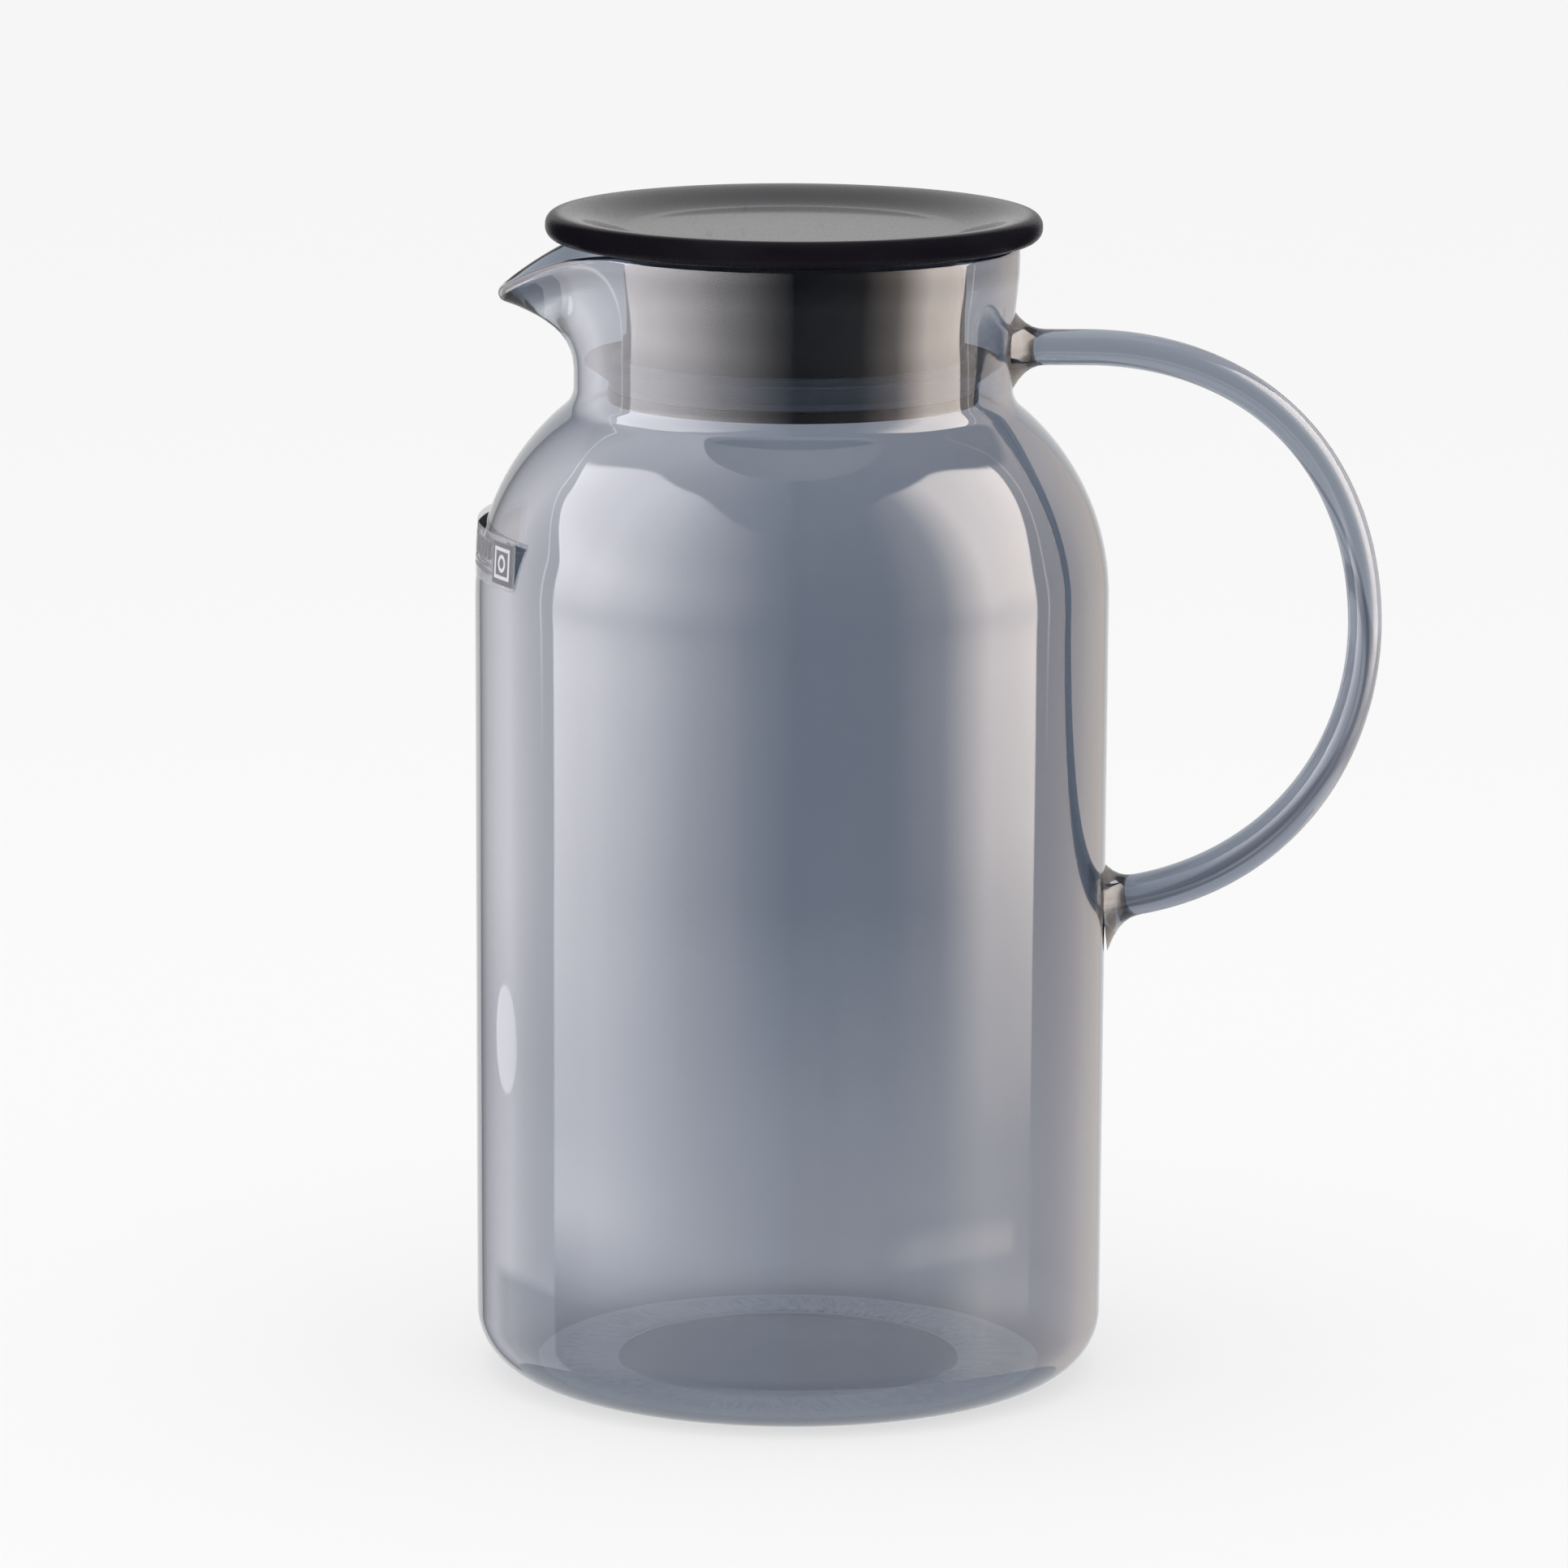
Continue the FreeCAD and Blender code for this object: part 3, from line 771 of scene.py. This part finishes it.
# ---- lid cover ----------------------------------------------------------------------------
# The cover is a thick disc of the same dark plastic, polished on top and welded to the plug. Its
# edge is rounded, and the top sinks in a shallow dish with a flat floor.
cover_low, cover_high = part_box("lid_cover")
cover_radius = cover_high.x
cover_edge = 2.4 * MM
polished_radius = 46.6 * MM
cover_gleam = 0.03
dish_radius = 33.0 * MM
dish_depth = 2.9 * MM


def cover_section(turn):
    """The disc from the middle of its underside, round its edge and into the dish."""
    low, high = cover_low.z, cover_high.z
    quarter = math.pi / 2
    points = [(0.0, low)] + straight((0.0, low), (cover_radius - cover_edge, low), 8)
    points += arc((cover_radius - cover_edge, low + cover_edge), cover_edge, -quarter, 0.0, 10)
    points += arc((cover_radius - cover_edge, high - cover_edge), cover_edge, 0.0, quarter, 10)
    flat_edge = cover_radius - cover_edge
    for step in range(1, 25):
        share = step / 24
        sink = 0.3 * share ** 2 + 0.7 * eased(share)
        points.append((flat_edge + (dish_radius - flat_edge) * share, high - dish_depth * sink))
    points += straight(points[-1], (0.0, high - dish_depth), 10)
    return points


cover_plastic = dark_plastic("cover_plastic", (0.007, 0.006, 0.009), (0.012, 0.0105, 0.014), 0.3,
                             cover_gleam, polished_radius / MM)
lid_disc = new_piece("lid_disc", turned_mesh("lid_disc", cover_section, even_turns), cover_plastic)
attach(lid_disc, "lid")
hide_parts("lid_cover")

# ---- studio -------------------------------------------------------------------------------
# A white sweep, and a curved light tent of cloth, open at the back, that only mirrors in the
# jug. The tent's two sides glow; its front is black, with the lens looking through it.
backdrop = 0.93
scene = bpy.context.scene
scene.view_settings.view_transform = "Standard"
scene.cycles.max_bounces = 32
scene.cycles.transmission_bounces = 28
scene.cycles.transparent_max_bounces = 24
scene.cycles.glossy_bounces = 12

world = bpy.data.worlds.new("studio")
scene.world = world
world.use_nodes = True
world_tree = Tree(world.node_tree)
world_tree.add("ShaderNodeOutputWorld", {}, {"Surface": world_tree.add(
    "ShaderNodeBackground", {}, {"Color": (1.0, 1.0, 1.0, 1.0), "Strength": backdrop})})

floor_mesh = bpy.data.meshes.new("floor")
floor_mesh.from_pydata([(x, y, 0.0) for x, y in ((-40, -40), (40, -40), (40, 40), (-40, 40))],
                       [], [(0, 1, 2, 3)])
floor_material, floor_tree = new_material("sweep")
cloth = floor_tree.add("ShaderNodeBsdfDiffuse", {}, {"Color": (0.96, 0.96, 0.96, 1.0)})
glow = floor_tree.add("ShaderNodeEmission", {}, {"Strength": backdrop})
floor_tree.add("ShaderNodeOutputMaterial", {}, {"Surface": floor_tree.add(
    "ShaderNodeMixShader", {}, {0: 0.7, 1: cloth, 2: glow})})
floor = new_piece("floor", floor_mesh, floor_material)
floor.visible_glossy = False

tent_radius = 0.6
tent_low, tent_high = -0.35, 1.65
tent_turns = 96
tent_open = math.radians(152.0)
tent_verts, tent_faces = [], []
for step in range(tent_turns + 1):
    turn = -tent_open + 2 * tent_open * step / tent_turns
    for height in (tent_low, tent_high):
        tent_verts.append((tent_radius * math.sin(turn), -tent_radius * math.cos(turn), height))
for step in range(tent_turns):
    a = 2 * step
    tent_faces.append((a, a + 2, a + 3, a + 1))
tent_mesh = bpy.data.meshes.new("light_tent")
tent_mesh.from_pydata(tent_verts, [], tent_faces)
tent_material, tent_tree = new_material("tent_cloth")
tx, ty, tz = tent_tree.parts(tent_tree.add("ShaderNodeTexCoord", output=3))
# degrees round the tent from its front: below 0 on the left, above 0 on the right
bearing = tx.maths("ARCTAN2", ty * -1.0) * (180.0 / math.pi)
away = abs(bearing)
# the strongest glow on the cloth; the other amounts below are in the same measure
brightest = 12.0


def glow_at(value, low, high, stops):
    """An amount of glow read off (place, amount) stops between low and high."""
    read = tent_tree.add("ShaderNodeValToRGB", {"stops": [
        ((place - low) / (high - low), (amount / brightest,) * 3) for place, amount in stops]},
        {0: (value - low) / (high - low)})
    return read * brightest


def round_tent(stops):
    return glow_at(away, 0.0, 180.0, stops)


def up_tent(stops):
    return glow_at(tz, -0.15, 0.95, stops)


# Each side is a tall panel. Its rear edge is upright and then leans back, and its top edge bows;
# past the edges there is only the spill on the cloth, with a line of piping near the rear edge.
left_side = tent_tree.ramp(bearing, -0.5, 0.5, 1.0, 0.0)
right_side = 1.0 - left_side
left_edge = (91.7 + tent_tree.ramp(tz, 0.25, 0.5, 0.0, 17.0)
             + tent_tree.ramp(tz, 0.48, 0.68, 0.0, 14.0))
right_edge = 94.6 + tent_tree.ramp(tz, 0.2, 0.68, 0.0, 20.0)
behind = away - (left_edge * left_side + right_edge * right_side)
above = tz - (0.7 + tent_tree.ramp(away, 15.0, 55.0, 0.0, 0.27)
              - tent_tree.ramp(away, 80.0, 125.0, 0.0, 0.4))
inside = tent_tree.ramp(behind, -0.6, 0.6, 1.0, 0.0) * tent_tree.ramp(above, -0.04, 0.02, 1.0, 0.0)
outside = 1.0 - inside
piping = (tent_tree.ramp(behind, 5.6, 6.2) * tent_tree.ramp(behind, 6.6, 7.2, 1.0, 0.0)
          * tent_tree.ramp(tz, 0.0, 0.1))

# the left side: its panel, which fades downwards, its spill, and a small oval lamp behind
left_panel = round_tent([(0.0, 0.15), (8.0, 0.8), (17.0, 1.8), (35.0, 4.5), (54.0, 8.5),
                         (72.0, 10.8), (140.0, 10.6)])
left_fade = up_tent([(-0.14, 0.1), (-0.118, 0.14), (-0.107, 0.4), (-0.096, 0.58), (-0.075, 0.55),
                     (-0.053, 0.6), (-0.031, 0.69), (0.011, 0.84), (0.055, 0.96), (0.11, 0.82),
                     (0.14, 0.82), (0.2, 0.98), (0.3, 1.1), (0.45, 0.95), (0.9, 0.85)])
left_spill = round_tent([(0.0, 0.5), (90.0, 4.6), (119.0, 4.6), (135.0, 2.2), (150.0, 0.5)])
left_spill = left_spill * tent_tree.ramp(tz, -0.07, 0.0, 0.78, 1.0)
low_cut = 1.0 - (tent_tree.ramp(tz, -0.121, -0.116, 0.4, 0.0)
                 * tent_tree.ramp(away, 122.0, 136.0, 1.0, 0.0))
left_lamp = ((away - 123.0) / 8.5) ** 2.0 + ((tz + 0.056) / 0.015) ** 2.0
left_glow = (left_panel * left_fade * inside
             + (left_spill + piping * 2.5) * outside * low_cut
             * tent_tree.ramp(above, -0.04, 0.02, 1.0, 0.85)
             + tent_tree.ramp(left_lamp, 0.85, 1.05, 1.4, 0.0))

# the right side: its panel and spill, and a patch of light low on the cloth
right_panel = round_tent([(0.0, 0.0), (34.0, 0.2), (53.0, 2.1), (72.0, 10.0), (120.0, 9.6)])
right_fade = up_tent([(-0.14, 0.2), (-0.118, 0.3), (-0.096, 0.24), (-0.075, 0.27), (-0.053, 0.42),
                      (-0.031, 0.53), (-0.01, 0.68), (0.011, 0.85), (0.055, 1.0), (0.11, 0.9),
                      (0.14, 0.93), (0.2, 1.1), (0.35, 1.12), (0.9, 0.9)])
right_spill = round_tent([(0.0, 0.3), (90.0, 2.1), (130.0, 1.9), (150.0, 1.2)])
right_patch = (tent_tree.ramp(tz, -0.107, -0.103) * tent_tree.ramp(tz, -0.1, -0.093, 1.0, 0.0)
               * tent_tree.ramp(away, 30.0, 50.0) * tent_tree.ramp(away, 84.0, 89.0, 1.0, 0.0))
right_glow = (right_panel * right_fade * inside
              + (right_spill + piping * 2.0) * outside
              * tent_tree.ramp(above, -0.04, 0.02, 1.0, 0.3)
              + right_patch * 1.3)

# the white table in front of the jug, low down in the middle
table = glow_at(tz, -0.35, 0.05, [
    (-0.3, 0.1), (-0.2, 0.4), (-0.143, 0.85), (-0.12, 0.95), (-0.11, 0.8), (-0.1, 1.25),
    (-0.088, 1.4), (-0.067, 1.1), (-0.046, 0.75), (-0.024, 0.5), (-0.008, 0.0)])
table = table * tent_tree.ramp(away, 60.0, 105.0, 1.0, 0.0)
tent_glow = left_glow * left_side + right_glow * right_side + table
warmth = tent_tree.mixed(left_side, (1.0, 0.885, 0.81), (0.985, 0.95, 0.985))
tent_light = tent_tree.add("ShaderNodeVectorMath", {"operation": "SCALE"},
                           {0: warmth, "Scale": tent_glow / brightest})
tent_tree.add("ShaderNodeOutputMaterial", {}, {"Surface": tent_tree.add(
    "ShaderNodeEmission", {}, {"Color": tent_light, "Strength": brightest})})
tent = new_piece("light_tent", tent_mesh, tent_material)
tent.visible_camera = False
tent.visible_diffuse = False
tent.visible_transmission = False
tent.visible_shadow = False
# the tent shows in all but the lid's cover, whose flat top would turn white from the side
lit = bpy.data.collections.new("lit_by_tent")
for piece in (glass_shell, handle_rod, label_film, plug_skirt, seal_fin_ring):
    lit.objects.link(piece)
tent.light_linking.receiver_collection = lit

key = bpy.data.lights.new("overhead_softbox", "AREA")
key.energy = 4.0
key.size = 0.9
key_lamp = bpy.data.objects.new("overhead_softbox", key)
key_lamp.location = (0.0, -0.2, 1.4)
key_lamp.visible_camera = False
key_lamp.visible_transmission = False
key_lamp.visible_glossy = False
scene.collection.objects.link(key_lamp)

# the lens is long, a little above the lid, and turned very slightly on its axis
lens = bpy.data.cameras.new("camera")
lens.lens = 200.0
lens.sensor_width = 36.0
lens.clip_start = 0.05
lens.clip_end = 200.0
camera = bpy.data.objects.new("camera", lens)
scene.collection.objects.link(camera)
look_at = (-1.4 * MM, 0.0, 117.5 * MM)
distance = 1724.0 * MM
elevation = math.radians(10.81)
roll = math.radians(0.29)
camera.location = (look_at[0], look_at[1] - distance * math.cos(elevation),
                   look_at[2] + distance * math.sin(elevation))
camera.rotation_euler = (math.pi / 2 - elevation, 0.0, 0.0)
camera.rotation_euler.rotate_axis("Z", roll)
scene.camera = camera
